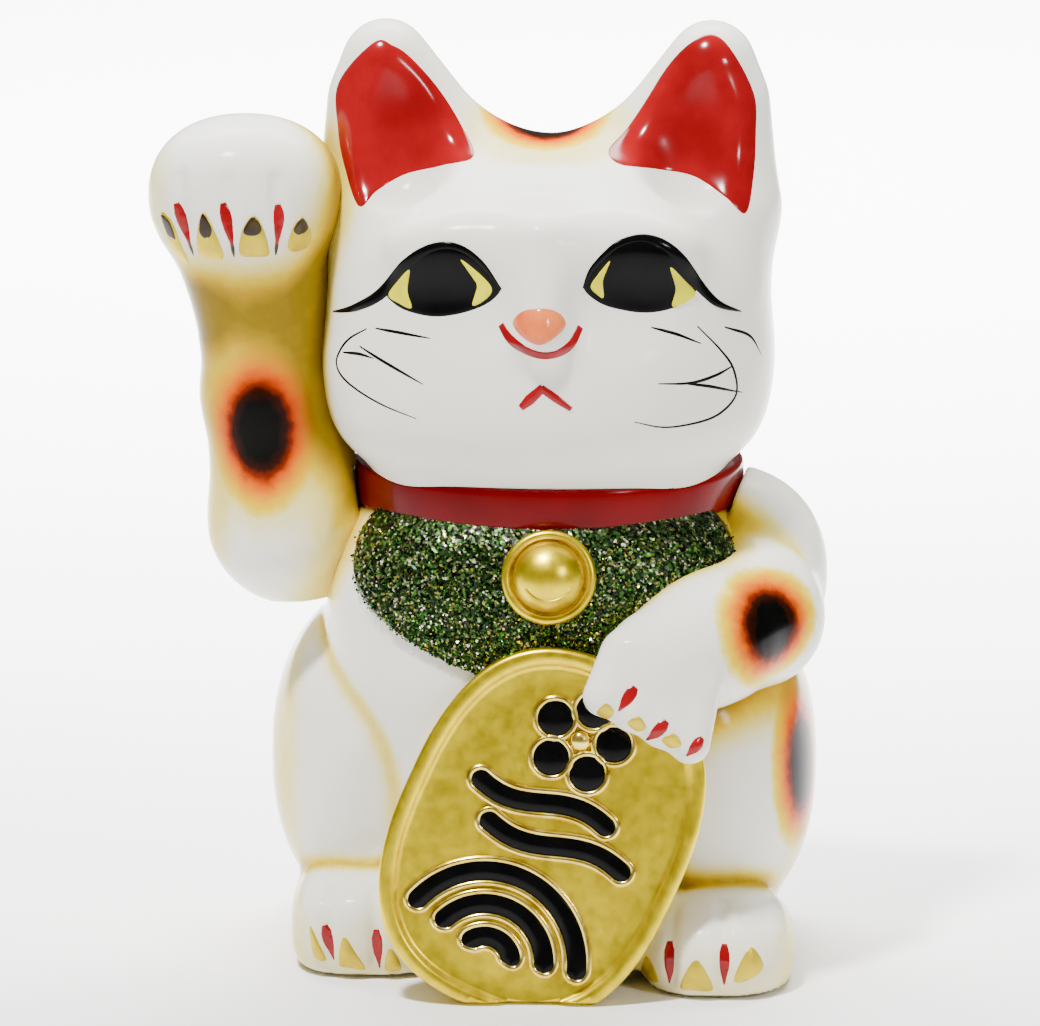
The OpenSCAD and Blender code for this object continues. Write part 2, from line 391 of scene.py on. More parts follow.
def new_material(name, colour, roughness, **sockets):
    material = bpy.data.materials.new(name)
    material.use_nodes = True
    shader = material.node_tree.nodes["Principled BSDF"]
    shader.inputs["Base Color"].default_value = (*colour, 1)
    shader.inputs["Roughness"].default_value = roughness
    for key, value in sockets.items():
        shader.inputs[key.replace("_", " ")].default_value = value
    return material


def node(material, kind, **values):
    """A shader node; a value given as a socket is linked, any other is set."""
    made = material.node_tree.nodes.new(kind)
    for key, value in values.items():
        if key in ("data_type", "blend_type", "operation", "attribute_name"):
            setattr(made, key, value)
            continue
        socket = made.inputs[int(key[1:]) if key[0] == "i" and key[1:].isdigit() else key.replace("_", " ")]
        if isinstance(value, bpy.types.NodeSocket):
            material.node_tree.links.new(value, socket)
        else:
            socket.default_value = value
    return made


def ramp(material, factor, stops):
    """A colour that follows factor through stops, each (position, colour)."""
    made = node(material, "ShaderNodeValToRGB", Fac=factor)
    band = made.color_ramp
    while len(band.elements) < len(stops):
        band.elements.new(0.5)
    for element, (at, colour) in zip(band.elements, stops):
        element.position = at
        element.color = (*colour, 1)
    return made.outputs["Color"]


def noise(material, scale, detail=3.0):
    where = node(material, "ShaderNodeTexCoord").outputs["Object"]
    return node(material, "ShaderNodeTexNoise", Vector=where, Scale=scale, Detail=detail).outputs["Fac"]


def mixed(material, blend, factor, a, b):
    """Two colours blended; each value is a socket or a constant."""
    made = node(material, "ShaderNodeMix", data_type="RGBA", blend_type=blend)
    for index, value in ((0, factor), (6, a), (7, b)):
        if isinstance(value, bpy.types.NodeSocket):
            material.node_tree.links.new(value, made.inputs[index])
        else:
            made.inputs[index].default_value = value
    return made.outputs[2]


def plug(material, **links):
    """Links sockets to the material's shader."""
    shader = material.node_tree.nodes["Principled BSDF"]
    for key, value in links.items():
        material.node_tree.links.new(value, shader.inputs[key.replace("_", " ")])


def bumped(material, height, strength, distance):
    bump = node(material, "ShaderNodeBump", Strength=strength, Distance=distance, Height=height)
    plug(material, Normal=bump.outputs["Normal"])


def glazed(material, scale=45, low=0.08, high=0.2):
    """The slightly wavy, unevenly glossy skin of a brushed or dipped glaze."""
    plug(material, Roughness=node(material, "ShaderNodeMapRange", Value=noise(material, scale * 3),
                                  To_Min=low, To_Max=high).outputs["Result"])
    bumped(material, noise(material, scale, 2.0), 0.25, 0.0006)
    return material


def enamel(name, colour, dark, scale=160, sheen=0.3, **options):
    """Hand-brushed enamel whose colour varies with its thickness."""
    material = new_material(name, colour, 0.15, Specular_IOR_Level=sheen)
    plug(material, Base_Color=ramp(material, noise(material, scale), [(0.35, dark), (0.62, colour)]))
    return glazed(material, **options)


GLAZE = glazed(new_material("white_glaze", (0.8, 0.79, 0.73), 0.12, Specular_IOR_Level=0.06))
body = ramp(GLAZE, noise(GLAZE, 25), [(0.3, (0.79, 0.765, 0.665)), (0.65, (0.84, 0.825, 0.75))])
wander = node(GLAZE, "ShaderNodeMath", operation="MULTIPLY_ADD", i0=noise(GLAZE, 320, 4.0), i1=0.16,
              i2=-0.08).outputs[0]


def brushed(name, stops):
    """The colour of airbrushed paint, with painted shade in the yellow's strong end, from an attribute whose
    edge wanders a little.
    """
    value = node(GLAZE, "ShaderNodeAttribute", attribute_name=name).outputs["Fac"]
    return ramp(GLAZE, node(GLAZE, "ShaderNodeMath", operation="ADD", i0=value, i1=wander).outputs[0], stops)


# Yellow airbrush paint whose ochre-to-brown strong end is painted shade in creases, under the raised paw and
# towards the bottom.
yellow_airbrush_and_shade = brushed("airbrush_and_shade", [(0.05, (1, 1, 1)), (0.3, (0.96, 0.84, 0.32)), (0.55, (0.8, 0.57, 0.02)),
                          (0.8, (0.5, 0.3, 0.005)), (1.0, (0.28, 0.18, 0.004))])
marking = brushed("spot", [(0.33, (0.001, 0.001, 0.001)), (0.46, (0.03, 0.005, 0.001)),
                           (0.54, (0.22, 0.02, 0.001)), (0.61, (0.65, 0.09, 0.001)), (0.69, (0.9, 0.22, 0.0)),
                           (0.78, (0.95, 0.45, 0.0)), (0.87, (0.97, 0.68, 0.0)),
                           (0.94, (0.98, 0.87, 0.28)), (1.0, (1, 1, 1))])
plug(GLAZE, Base_Color=mixed(GLAZE, "MULTIPLY", 1.0, mixed(GLAZE, "MULTIPLY", 1.0, body, yellow_airbrush_and_shade), marking))

RED = enamel("red_enamel", (0.3, 0.003, 0.006), (0.2, 0.001, 0.003), 60)
COLLAR_RED = enamel("collar_red_glaze", (0.2, 0.002, 0.004), (0.14, 0.001, 0.002), 40, sheen=0.12)
BLACK = enamel("black_enamel", (0.002, 0.002, 0.002), (0.001, 0.001, 0.001), sheen=0.1)
YELLOW = enamel("yellow_enamel", (0.78, 0.74, 0.0), (0.62, 0.56, 0.0), sheen=0.15)
SALMON = enamel("salmon_enamel", (0.8, 0.2, 0.05), (0.62, 0.1, 0.02), 90)
# Brown for painted dark reflections on the tops of the raised paw's gold claws, and for strokes between those
# claws.
BROWN = enamel("brown_enamel_and_reflection", (0.045, 0.026, 0.005), (0.016, 0.007, 0.002))


def gold(name, colour, dark, roughness, scale=220, metallic=0.95):
    """Fired gold lustre, brushed on unevenly."""
    material = new_material(name, colour, roughness, Metallic=metallic)
    plug(material, Base_Color=ramp(material, noise(material, scale, 5.0), [(0.3, dark), (0.6, colour)]))
    plug(material, Roughness=node(material, "ShaderNodeMapRange", Value=noise(material, scale * 2),
                                  To_Min=roughness - 0.08, To_Max=roughness + 0.1).outputs["Result"])
    bumped(material, noise(material, scale * 0.7, 3.0), 0.3, 0.0003)
    return material


GOLD = gold("gold_lustre", (0.8, 0.6, 0.0), (0.6, 0.43, 0.0), 0.34)
# A glossier, lighter copy of the gold for the coin ornament's raised beads: the gloss is theirs, the lighter
# colour is painted highlight.
HIGHLIGHT_GOLD = gold("highlight_gold_lustre", (0.95, 0.74, 0.16), (0.6, 0.4, 0.03), 0.2, metallic=1.0)
CLAW_GOLD = gold("claw_gold", (0.62, 0.46, 0.004), (0.45, 0.31, 0.002), 0.4, metallic=0.5)

# ---------------------------------------------------------------- the cat's forms

NECK_CUT, ABOVE = 121, 300          # where head and torso meet, and a level over all
STAND_Z = 1                         # where the clay and the coin are cut off flat below
SKULL = ellipsoid((0, -3, 162), (55, 44, 40), 2.35)
JAW = ellipsoid((0, -6, 143), (54.5, 42, 28), 2.4)
NECK = ellipsoid((0, 0, 124), (42, 37, 14), 3)
MUZZLE = ellipsoid((0, -37, 145), (29, 12.5, 19))
NOSE_BRIDGE = bone((0, -42, 184), (0, -50, 163), 7, 5.5)
BROW = ellipsoid((18, -36, 182), (19, 8.5, 8.5))
SOCKET = ellipsoid((24, -58, 171), (15, 11, 11))
EAR = join(6, plate([(46, 2, 188), (15, 2, 193.5), (40, 2, 221.5)], (9, 8.5, 10)),
           plate([(45, -6, 188), (21, -5, 191), (40, 1, 219)], (9, 8.5, 9)),
           bone((46, 2, 188), (43.7, 2, 211), 9, 9.8))
EAR_MIDDLE = (36, -19.5, 207)
EAR_HOLLOW = tilted(ellipsoid(EAR_MIDDLE, (14, 9.5, 18.5)), EAR_MIDDLE, 14)
FACE = join(9, SKULL, JAW, MUZZLE, NOSE_BRIDGE, BROW, mirrored(BROW))
FACE = carve(10, FACE, SOCKET, mirrored(SOCKET))
HEAD = carve(3, join(15, FACE, EAR, mirrored(EAR)), EAR_HOLLOW, mirrored(EAR_HOLLOW))
HEAD = both(join(6, HEAD, NECK), slab(Z, NECK_CUT, ABOVE))

TRUNK = join(20, ellipsoid((0, -1, 104), (44, 38, 16)), ellipsoid((0, -3, 85), (54, 43.5, 32), 2.6),
             ellipsoid((0, -3, 42), (43, 46, 46), 2.4))
HAUNCH = ellipsoid((35, 3, 46), (31.5, 44, 41.5), 2.3)
HAUNCH_RIGHT = ellipsoid((-37.5, 11, 46), (31.5, 44, 41.5), 2.3)
FOOT = ellipsoid((43, -38, 8), (19, 25, 14.8), 2.5)
FOOT_RIGHT = ellipsoid((-43, -20, 10), (19.7, 25, 14.7), 2.9)
COIN_BED = ellipsoid((1, -44, 36), (32, 16, 38), 2.6)
SEAT = ellipsoid((0, 4, 16), (56, 41, 20), 3.5)
FORM = join(4, TRUNK, HAUNCH, HAUNCH_RIGHT, SEAT, FOOT, FOOT_RIGHT, COIN_BED)
FORM = carve(2.5, FORM, *[groove(FORM, [(x, 22), (x, 13), (x, 4)], 0.9)
                          for x in (-52.5, -41, 32, 44.5)])
WALL, DISC_TOP, DISC_R = 5, 6, 40
SLOT = ((0, 40, 98), (19, 15, 2.5))


def disc_opening(p):
    return np.maximum(np.hypot(p[:, X], p[:, Y]) - DISC_R, p[:, Z] - DISC_TOP)


def hollow(p):
    return np.maximum(FORM(p) + WALL, DISC_TOP - p[:, Z])


def slot(p):
    return (np.abs(p - np.array(SLOT[0])) - np.array(SLOT[1])).max(1)


TORSO = both(carve(1, FORM, slot), slab(Z, STAND_Z, NECK_CUT), lambda p: -hollow(p),
             lambda p: -disc_opening(p))

RAISED = join(5, bone((-43, 6, 100), (-63, -4, 107.5), 13, 20),
              bone((-63, -4, 107.5), (-69, -8, 140), 20, 15.5),
              bone((-69, -8, 140), (-69.5, -9, 166), 15.5, 15.5),
              bone((-73, -11, 182), (-70, -9, 158), 20.5, 15))
PAW_UP = ellipsoid((-74, -12, 190.5), (23.8, 20.5, 19.5), 2.2)
PAW_UP = carve(3, PAW_UP, *[groove(PAW_UP, [(x - 0.5, 197), (x, 190), (x + 1, 184)], 0.8)
                            for x in (-88.5, -77, -65)])
RAISED = join(4, RAISED, PAW_UP)
COLLAR_LOW, COLLAR_HIGH = (np.array(corner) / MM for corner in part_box("collar_band"))
COLLAR_FLAT, COLLAR_GAP, COLLAR_DROP = 0.88, 0.4, 1.5
BESIDE_COLLAR = both(lambda p: np.hypot(p[:, X], p[:, Y] / COLLAR_FLAT) - COLLAR_HIGH[X] - COLLAR_GAP,
                     slab(Z, COLLAR_LOW[Z] - COLLAR_DROP, COLLAR_HIGH[Z] - COLLAR_DROP))
RAISED = carve(1.5, RAISED, BESIDE_COLLAR)

LOWERED = join(6, ellipsoid((40.5, -2, 94.5), (28.6, 20.5, 27), 2.2),
               bone((50.5, -21, 87.5), (40, -41, 85.5), 18.3, 15.5),
               bone((40, -40, 85.5), (29, -53, 82), 15, 14))
TOES_DOWN = [bone((29 + 5.5 * i, -59, 81 - 3 * i), (26 + 7 * i, -65 + 0.5 * i, 71 - 4 * i), 6.5, 5)
             for i in (-1.5, -0.5, 0.5, 1.5)]
LOWERED = carve(1.5, join(3, LOWERED, join(4, *TOES_DOWN)), BESIDE_COLLAR)
TAIL = join(8, ellipsoid((8, 50, 18), (14, 10, 12)), ellipsoid((14, 57, 27), (9, 8, 10)))

# ---------------------------------------------------------------- clay pieces with their airbrushing and painted shade

def near(field, width):
    """Yellow airbrush and painted shade that fade with distance from another form."""
    return lambda p: np.exp(-(np.maximum(field(p), 0) / width) ** 2)


def crease(a, b, width):
    """Yellow airbrush and painted shade along the crease where two forms meet."""
    return lambda p: np.exp(-((a(p) - b(p)) / width) ** 2) * (np.abs(np.minimum(a(p), b(p))) < 3)


def beyond(axis, start, end):
    """Yellow airbrush and painted shade that grow from start to end along an axis."""
    return lambda p: np.clip((p[:, axis] - start) / (end - start), 0, 1)


def around(axis, middle, width):
    """Yellow airbrush and painted shade that fade both ways from a level along an axis."""
    return lambda p: np.exp(-((p[:, axis] - middle) / width) ** 2)


def summed(*airbrush_and_shade_terms):
    """Fields of yellow airbrush and painted shade added up, each given as (weight, field)."""
    return lambda p: sum(weight * airbrush_and_shade(p) for weight, airbrush_and_shade in airbrush_and_shade_terms)


# Each piece's yellow is airbrush paint that deepens into painted shade in creases, near other forms, under
# the raised paw and towards the bottom and sides.
clay("head", "head_casting", HEAD, 1.2,
     summed((0.5, near(RAISED, 5)), (0.25, near(ellipsoid((0, 0, 200), (24, 18, 12)), 5))),
     [((-1, 7, 205), (20, 21, 12.5))])
clay("torso", "torso_casting", TORSO, 1.5,
     summed((0.5, crease(HAUNCH, TRUNK, 4)), (0.42, crease(HAUNCH_RIGHT, TRUNK, 2.5)),
            (0.2, beyond(Z, 25, 2)), (0.5, near(RAISED, 7)),
            (0.6, crease(HAUNCH_RIGHT, FOOT_RIGHT, 3)), (0.75, crease(HAUNCH, FOOT, 4)),
            (0.7, near(LOWERED, 9)), (0.6, beyond(X, -58, -69)), (0.45, beyond(X, 57, 67)),
            (0.25, near(COIN_BED, 3))),
     [((66, -20, 50), (14, 20, 24))])
clay("right_arm", "raised_arm", RAISED, 1.1,
     summed((0.95, near(HEAD, 9)), (0.92, around(Z, 164, 11)), (0.4, near(TRUNK, 9)),
            (0.45, lambda p: beyond(X, -76, -84)(p) * beyond(Z, 178, 160)(p)), (0.25, beyond(X, -88, -97)),
            (0.3, near(ellipsoid((-70, -24, 134), (12, 9, 19)), 9))),
     [((-70, -25, 133.5), (14.7, 24, 22.3))])
clay("left_arm", "lowered_arm", LOWERED, 1.1,
     summed((0.5, near(TORSO, 4.5)), (0.35, lambda p: around(Y, -18, 3)(p) * beyond(Z, 97, 103)(p))),
     [((57, -46, 90.5), (17.5, 22, 17))])
clay("bobtail", "tail", TAIL, 1.1, summed((0.5, near(TRUNK, 5))), [((15, 60, 30), (9, 9, 9))])

# ---------------------------------------------------------------- painted face

RIGHT_EYE = [(-38, 171), (-33.5, 177.5), (-28.5, 182), (-24, 183.5), (-19, 182.5), (-14.5, 179),
             (-11.5, 175.5), (-10, 173.5), (-13, 170), (-19, 167.3), (-26, 166), (-32.5, 166.8),
             (-36.5, 168.5)]
RIGHT_LID = [(-52, 163), (-45.5, 166.2), (-39.3, 170.7), (-33.5, 178.3), (-28.5, 182.5), (-23.5, 184),
             (-19, 183), (-14.5, 179.5), (-10, 173.5)]
LEFT_EYE = [(10, 174), (12, 178), (16.5, 183), (20, 185), (24.5, 185.5), (29, 184), (33.5, 180), (37, 175),
            (36.5, 170.5), (32, 168.3), (26, 167.3), (20, 168), (14, 170)]
LEFT_LID = [(10, 174), (12, 178.5), (16.5, 183.3), (20, 185.3), (24.5, 186), (29, 184.5), (33.5, 180.3),
            (37.8, 173.3), (42.3, 168.2), (48, 165)]
LASH = [0.4, 2.1, 3.1, 2.9, 2.2, 1.8, 1.6, 1.4, 0.6]
LID_LIFT = 0.28

piece("eyes", [patch(HEAD, RIGHT_EYE), patch(HEAD, LEFT_EYE),
               *[stroke(HEAD, lid, LASH, 60, lift=LID_LIFT) for lid in (RIGHT_LID, LEFT_LID[::-1])]],
      BLACK, "black_enamel")
piece("irises", [patch(HEAD, outline, lift=0.12, base=0.2, n=40, rings=4) for outline in (
    [(-32.4, 177.4), (-35.4, 174), (-37.6, 170.3), (-35, 168.6), (-31.9, 167.8), (-32.9, 172)],
    [(-19.8, 180.6), (-15, 177), (-12.2, 173.6), (-13.6, 170.9), (-17, 169.2), (-15.9, 174.5)],
    [(16.4, 180.6), (13.4, 177.2), (11.7, 174.4), (12.8, 172.6), (14.8, 171.4), (14.7, 175.8)],
    [(31, 178.6), (34.5, 174.8), (37, 171.2), (34.7, 169.3), (31.4, 168.7), (32.2, 173)])],
      YELLOW, "white_glaze")
piece("nose", [patch(HEAD, [(-7, 165.5), (-5.7, 168.3), (-2.7, 170), (1.6, 170.2), (4.6, 168.6), (5.9, 165.8),
                            (3.6, 163.5), (-0.2, 161.7), (-4.3, 163.1)], dome=0.7)], SALMON, "white_glaze")
piece("mouth", [
    stroke(HEAD, [(-10, 165), (-8, 162.3), (-5, 160.6), (-1.8, 159.3), (1.4, 158.8), (4.6, 159.4),
                  (7.4, 161.2), (9.3, 164.7)], [1.7, 2.5, 2.3, 2.2, 2.5, 1.7], 44, lift=0.25),
    stroke(HEAD, [(-5, 145.3), (-2.8, 147.4), (0.4, 150.4)], [1.6, 2.7, 2.1], lift=0.25),
    stroke(HEAD, [(-0.1, 150.2), (3.6, 147.6), (7.2, 145)], [1.9, 2, 1.2], lift=0.25)], RED, "red_glaze")
FINE = [0.35, 0.75, 0.8, 0.6, 0.25]
piece("whiskers", [stroke(HEAD, path, FINE, 40, lift=0.1) for path in (
    [(-41, 161.8), (-34.5, 161.5), (-27.3, 160.8)],
    [(-45, 156.8), (-37, 153.3), (-29, 149.8)],
    [(-49.3, 154.3), (-45.2, 154.9), (-41.4, 154.5)],
    [(-43.2, 161.3), (-47.3, 158.3), (-49.8, 155), (-51, 151), (-48.4, 147.5), (-39.6, 143.5), (-30.7, 141)],
    [(26.4, 163.8), (32.4, 161.9), (38.5, 159)],
    [(37.5, 163.3), (43, 157), (46.2, 151.8), (47, 145.5), (43.6, 141.5), (38.3, 139.7), (30, 139.3),
     (22.5, 141.3)],
    [(45.7, 152.3), (41.7, 150.8), (36, 149.8), (28.2, 150.4)],
    [(34.7, 149.8), (41.2, 148.2), (48.4, 145.4)],
    [(44, 162.2), (50, 158.7), (53, 153)])], BLACK, "black_enamel")
RIGHT_LINING = [(-42.5, 228.5), (-51.4, 218.4), (-51.4, 206.7), (-49.7, 197.6), (-45.8, 187.3),
                (-41.3, 191.3), (-34.7, 195.4), (-25.6, 197.6), (-17.8, 199.9), (-21.1, 208),
                (-26.8, 217.1), (-33.5, 224.7), (-37.9, 227.7)]
LEFT_LINING = [(40.5, 231), (45.4, 226.5), (50.6, 216.1), (51.1, 206.7), (50.6, 195.4), (48.8, 186.2),
               (43.8, 190.2), (36, 195.4), (26.9, 197.1), (18, 198.1), (15.2, 201.7), (19.1, 206.7),
               (23.7, 213.8), (29.3, 222.9), (34.8, 228.7)]
EAR_DEPTH = -12          # the depth y at which the linings' outlines are given
piece("ear_linings", [patch(HEAD, outline, lift=0.35, n=140, rings=34, fall=math.tan(ELEVATION),
                            pivot=EAR_DEPTH) for outline in (RIGHT_LINING, LEFT_LINING)],
      RED, "red_glaze")

# ---------------------------------------------------------------- claws and toe strokes

TEAR = [1.5, 2.9, 3, 2.5, 1.3, 0.4]
RED_STROKES = [(RAISED, [(-90, 190.8), (-88, 185.5), (-86.5, 180)]),
               (RAISED, [(-78.3, 191.7), (-77, 186.2), (-76, 180.7)]),
               (RAISED, [(-65, 191.2), (-64.8, 186.2), (-65.3, 181)]),
               (LOWERED, [(23.4, 79.8), (21.3, 77), (19.3, 74.3)]),
               (LOWERED, [(31, 71.6), (28.6, 69), (26, 66.6)]),
               (LOWERED, [(39.6, 67.2), (37.8, 65), (35.8, 63)]),
               (TORSO, [(-53.5, 13.5), (-52.3, 9), (-51.2, 4.7)]),
               (TORSO, [(-40.8, 12.8), (-40.5, 8), (-40, 3)]),
               (TORSO, [(31.7, 13.8), (31.7, 8.5), (31.6, 3.5)]), (TORSO, [(45, 14), (45, 9), (45, 4)])]
piece("toe_strokes", [stroke(field, path, TEAR, lift=0.3) for field, path in RED_STROKES], RED, "red_glaze")
TIPS = [[(-86.9, 181.3), (-86.3, 179.5), (-85.8, 177.8)], [(-76.2, 181.8), (-75.9, 180), (-75.7, 178.2)],
        [(-65.2, 182), (-65.4, 180.2), (-65.6, 178.5)]]
UPPER_CLAWS = [[(-94, 187.5), (-91.3, 186.5), (-88.8, 180), (-87.2, 175.5), (-89.3, 175.8), (-92, 179)],
               [(-83.2, 189.3), (-80.5, 185), (-78.3, 178.5), (-80.5, 177), (-84.2, 178.3), (-84.8, 183.5)],
               [(-71, 188.8), (-68.6, 186), (-67.3, 181), (-67.4, 178.5), (-71, 178.3), (-74.2, 179),
                (-73.8, 184.5)],
               [(-59.2, 187.8), (-57.2, 184), (-57.6, 180.6), (-60, 179), (-62.6, 180), (-61.6, 184.8)]]
FOOT_CLAWS = [[(-57.3, 13), (-54.6, 8), (-53.3, 4.5), (-56.3, 5.5)],
              [(-48.8, 11), (-45.5, 6.5), (-43.5, 2.6), (-47, 3), (-50, 4)],
              [(-37.8, 8), (-35.8, 6.5), (-34.8, 2.5), (-38.6, 2.5)],
              [(25.8, 9), (28.9, 3.5), (24.5, 2.8)],
              [(38.2, 10.5), (42.3, 3.3), (38, 2.6), (34.2, 3.3)],
              [(51.3, 13.3), (54.6, 8.3), (51, 5.3), (47.4, 5.6)]]
LEFT_PAW_CLAWS = [[(16.3, 76.3), (18.2, 74), (16.5, 71.8), (14, 73.6)],
                  [(24.2, 73), (26, 70), (23.6, 69), (21.6, 71.4)],
                  [(32.8, 68.6), (34.6, 65.8), (32, 64.8), (29.8, 67)]]
piece("claws", [*[patch(RAISED, outline, n=48, lift=0.25, dome=0.35) for outline in UPPER_CLAWS],
                *[patch(TORSO, outline, n=48, lift=0.2, dome=0.3) for outline in FOOT_CLAWS],
                *[patch(LOWERED, outline, n=36, lift=0.2, dome=0.25) for outline in LEFT_PAW_CLAWS]],
      CLAW_GOLD, "gold_lustre")
# Painted dark reflection on the top of each gold claw of the raised paw; TIPS are brown strokes that carry
# the red toe strokes down between the claws.
CLAW_REFLECTIONS = [[(-93.6, 187.3), (-91.5, 186), (-90, 181.8), (-92, 182.5)],
         [(-83.2, 189), (-81, 185.3), (-82, 182.6), (-84, 184.5)],
         [(-71, 188.6), (-68.9, 185.7), (-70.5, 183.8), (-73.3, 184.8)],
         [(-59.3, 187.6), (-58, 185), (-60, 183.4), (-61.3, 185)]]
piece("claw_roots", [*[patch(RAISED, outline, n=40, lift=0.1, base=0.5, rings=4) for outline in CLAW_REFLECTIONS],
                     *[stroke(RAISED, path, [0.9, 0.9, 0.2], n=12, lift=0.12, base=0.05) for path in TIPS]],
      BROWN, "black_enamel")

# ---------------------------------------------------------------- collar

COLLAR_T = 7


def collar(sides=180, section=24):
    """An oval band of soft rectangular section, a little uneven as brushed clay is."""
    half_w, height = COLLAR_HIGH[X], COLLAR_HIGH[Z] - COLLAR_LOW[Z]
    a = np.linspace(0, 2 * math.pi, sides, endpoint=False)[:, None]
    b = np.linspace(0, 2 * math.pi, section, endpoint=False)[None]
    square = lambda v: np.sign(v) * np.abs(v) ** 0.35
    r = half_w - COLLAR_T / 2 + COLLAR_T / 2 * square(np.cos(b)) + 0.15 * np.sin(5 * a) - 0.15
    z = COLLAR_LOW[Z] + height / 2 + height / 2 * square(np.sin(b)) + 0.12 * np.sin(3 * a + 1)
    points = np.stack([r * np.cos(a), COLLAR_FLAT * r * np.sin(a), z + 0 * a], -1).reshape(-1, 3)
    faces = [(i * section + j, i * section + (j + 1) % section, (i + 1) % sides * section + (j + 1) % section,
              (i + 1) % sides * section + j) for i in range(sides) for j in range(section)]
    return points, faces


piece("collar", [collar()], COLLAR_RED, "red_glaze", "collar_band")

# ---------------------------------------------------------------- glitter bib

BIB_TOP, BIB_DROP, BIB_HALF, CHEST_R = 113.2, 37.7, 46, 51
BIB_LIFT, BIB_SUNK, BIB_END = 1.3, 1.2, 0.995
chance = np.random.default_rng(8)


def bib_surface(u, v):
    """Points and normals of the chest under the bib, u from -1 to 1 across and v from 0 to 1 down."""
    half = BIB_HALF * np.maximum(1 - v ** 2.4, 0) ** 0.56
    points = inward(TRUNK, np.arcsin(np.minimum(half / CHEST_R, 0.95)) * u, BIB_TOP - BIB_DROP * v)
    return points, gradient(TRUNK, points)[0]


def bib(across=121, down=71):
    u, v = np.meshgrid(np.linspace(-1, 1, across), np.sin(np.linspace(0, math.pi / 2, down)) * BIB_END)
    points, normal = bib_surface(u.ravel(), v.ravel())
    edge = np.minimum(1 - np.abs(u), 1 - v / BIB_END).ravel()
    rise = BIB_LIFT * np.sqrt(np.clip(edge / 0.05, 0, 1)) + chance.uniform(-0.14, 0.14, len(points))
    quads = [(j * across + i, j * across + i + 1, (j + 1) * across + i + 1, (j + 1) * across + i)
             for j in range(down - 1) for i in range(across - 1)]
    ring = [*range(across), *[j * across + across - 1 for j in range(1, down)],
            *range(across * down - 2, across * (down - 1) - 1, -1),
            *[j * across for j in range(down - 2, 0, -1)]]
    return layers(points + normal * rise[:, None], points - normal * BIB_SUNK, quads,
                  list(zip(ring, ring[1:] + ring[:1])))


def flakes(count=6500, thin=0.08):
    """Six-sided flakes of foil that lie at all angles in the varnish."""
    u, v = chance.uniform(-0.99, 0.99, count), np.sqrt(chance.uniform(0, 0.985, count))
    points, normal = bib_surface(u, v)
    lean = normal + chance.normal(0, 0.42, (count, 3))
    lean /= np.linalg.norm(lean, axis=1)[:, None]
    one = np.cross(lean, chance.normal(0, 1, (count, 3)))
    one /= np.linalg.norm(one, axis=1)[:, None]
    two = np.cross(lean, one)
    a = np.linspace(0, 2 * math.pi, 6, endpoint=False)
    size = chance.uniform(0.2, 0.4, count)[:, None, None]
    rim = size * (one[:, None] * np.cos(a)[None, :, None] + two[:, None] * np.sin(a)[None, :, None])
    middle = points + normal * (BIB_LIFT + chance.uniform(-0.05, 0.22, count))[:, None]
    corners = np.concatenate([middle[:, None] + rim + lean[:, None] * thin / 2,
                              middle[:, None] + rim - lean[:, None] * thin / 2], 1).reshape(-1, 3)
    faces = []
    for k in range(0, count * 12, 12):
        faces += [tuple(range(k, k + 6)), tuple(range(k + 11, k + 5, -1))]
        faces += [(k + i, k + 6 + i, k + 6 + (i + 1) % 6, k + (i + 1) % 6) for i in range(6)]
    return (corners, faces), np.repeat(chance.uniform(0, 1, count), 12)


VARNISH = new_material("glitter_varnish", (0.01, 0.02, 0.008), 0.3, Specular_IOR_Level=0.3)
where = node(VARNISH, "ShaderNodeTexCoord").outputs["Object"]
grains = node(VARNISH, "ShaderNodeTexVoronoi", Vector=where, Scale=1700)
grain = node(VARNISH, "ShaderNodeSeparateColor", Color=grains.outputs["Color"])
GRAINS = [(0.0, (0.002, 0.003, 0.001)), (0.42, (0.006, 0.012, 0.003)), (0.62, (0.014, 0.05, 0.007)),
          (0.82, (0.04, 0.14, 0.015)), (0.9, (0.16, 0.13, 0.02)), (0.97, (0.4, 0.36, 0.2)),
          (1.0, (0.6, 0.6, 0.55))]
glint = node(VARNISH, "ShaderNodeMapRange", Value=grain.outputs["Green"], From_Min=0.3, From_Max=0.6)
plug(VARNISH, Base_Color=ramp(VARNISH, grain.outputs["Red"], GRAINS), Metallic=glint.outputs[0])
bumped(VARNISH, grain.outputs["Blue"], 1.0, 0.0005)
FOIL = new_material("glitter_foil", (0.3, 0.4, 0.2), 0.22, Metallic=1.0)
FOILS = [(0.0, (0.004, 0.006, 0.003)), (0.4, (0.012, 0.03, 0.006)), (0.6, (0.03, 0.13, 0.015)),
         (0.76, (0.08, 0.2, 0.02)), (0.84, (0.3, 0.22, 0.03)), (0.92, (0.6, 0.48, 0.16)),
         (1.0, (0.9, 0.9, 0.8))]
hue = node(FOIL, "ShaderNodeAttribute", attribute_name="foil")
plug(FOIL, Base_Color=ramp(FOIL, hue.outputs["Fac"], FOILS))
piece("bib", [bib()], VARNISH, "green_glitter", "glitter_bib", smooth=False)
foil_part, foil_hue = flakes()
foil = piece("bib_flakes", [foil_part], FOIL, "green_glitter", smooth=False, outward=False)
add_attribute(foil, "foil", foil_hue)

# ---------------------------------------------------------------- bell

def placed(origin, *turns):
    """Turns, each (axis, degrees), applied one after the other, then a move to the origin."""
    matrix = Matrix.Identity(3)
    for axis, degrees in turns:
        matrix = Matrix.Rotation(math.radians(degrees), 3, axis) @ matrix
    matrix = np.array(matrix)
    return lambda p: p @ matrix.T + np.array(origin)


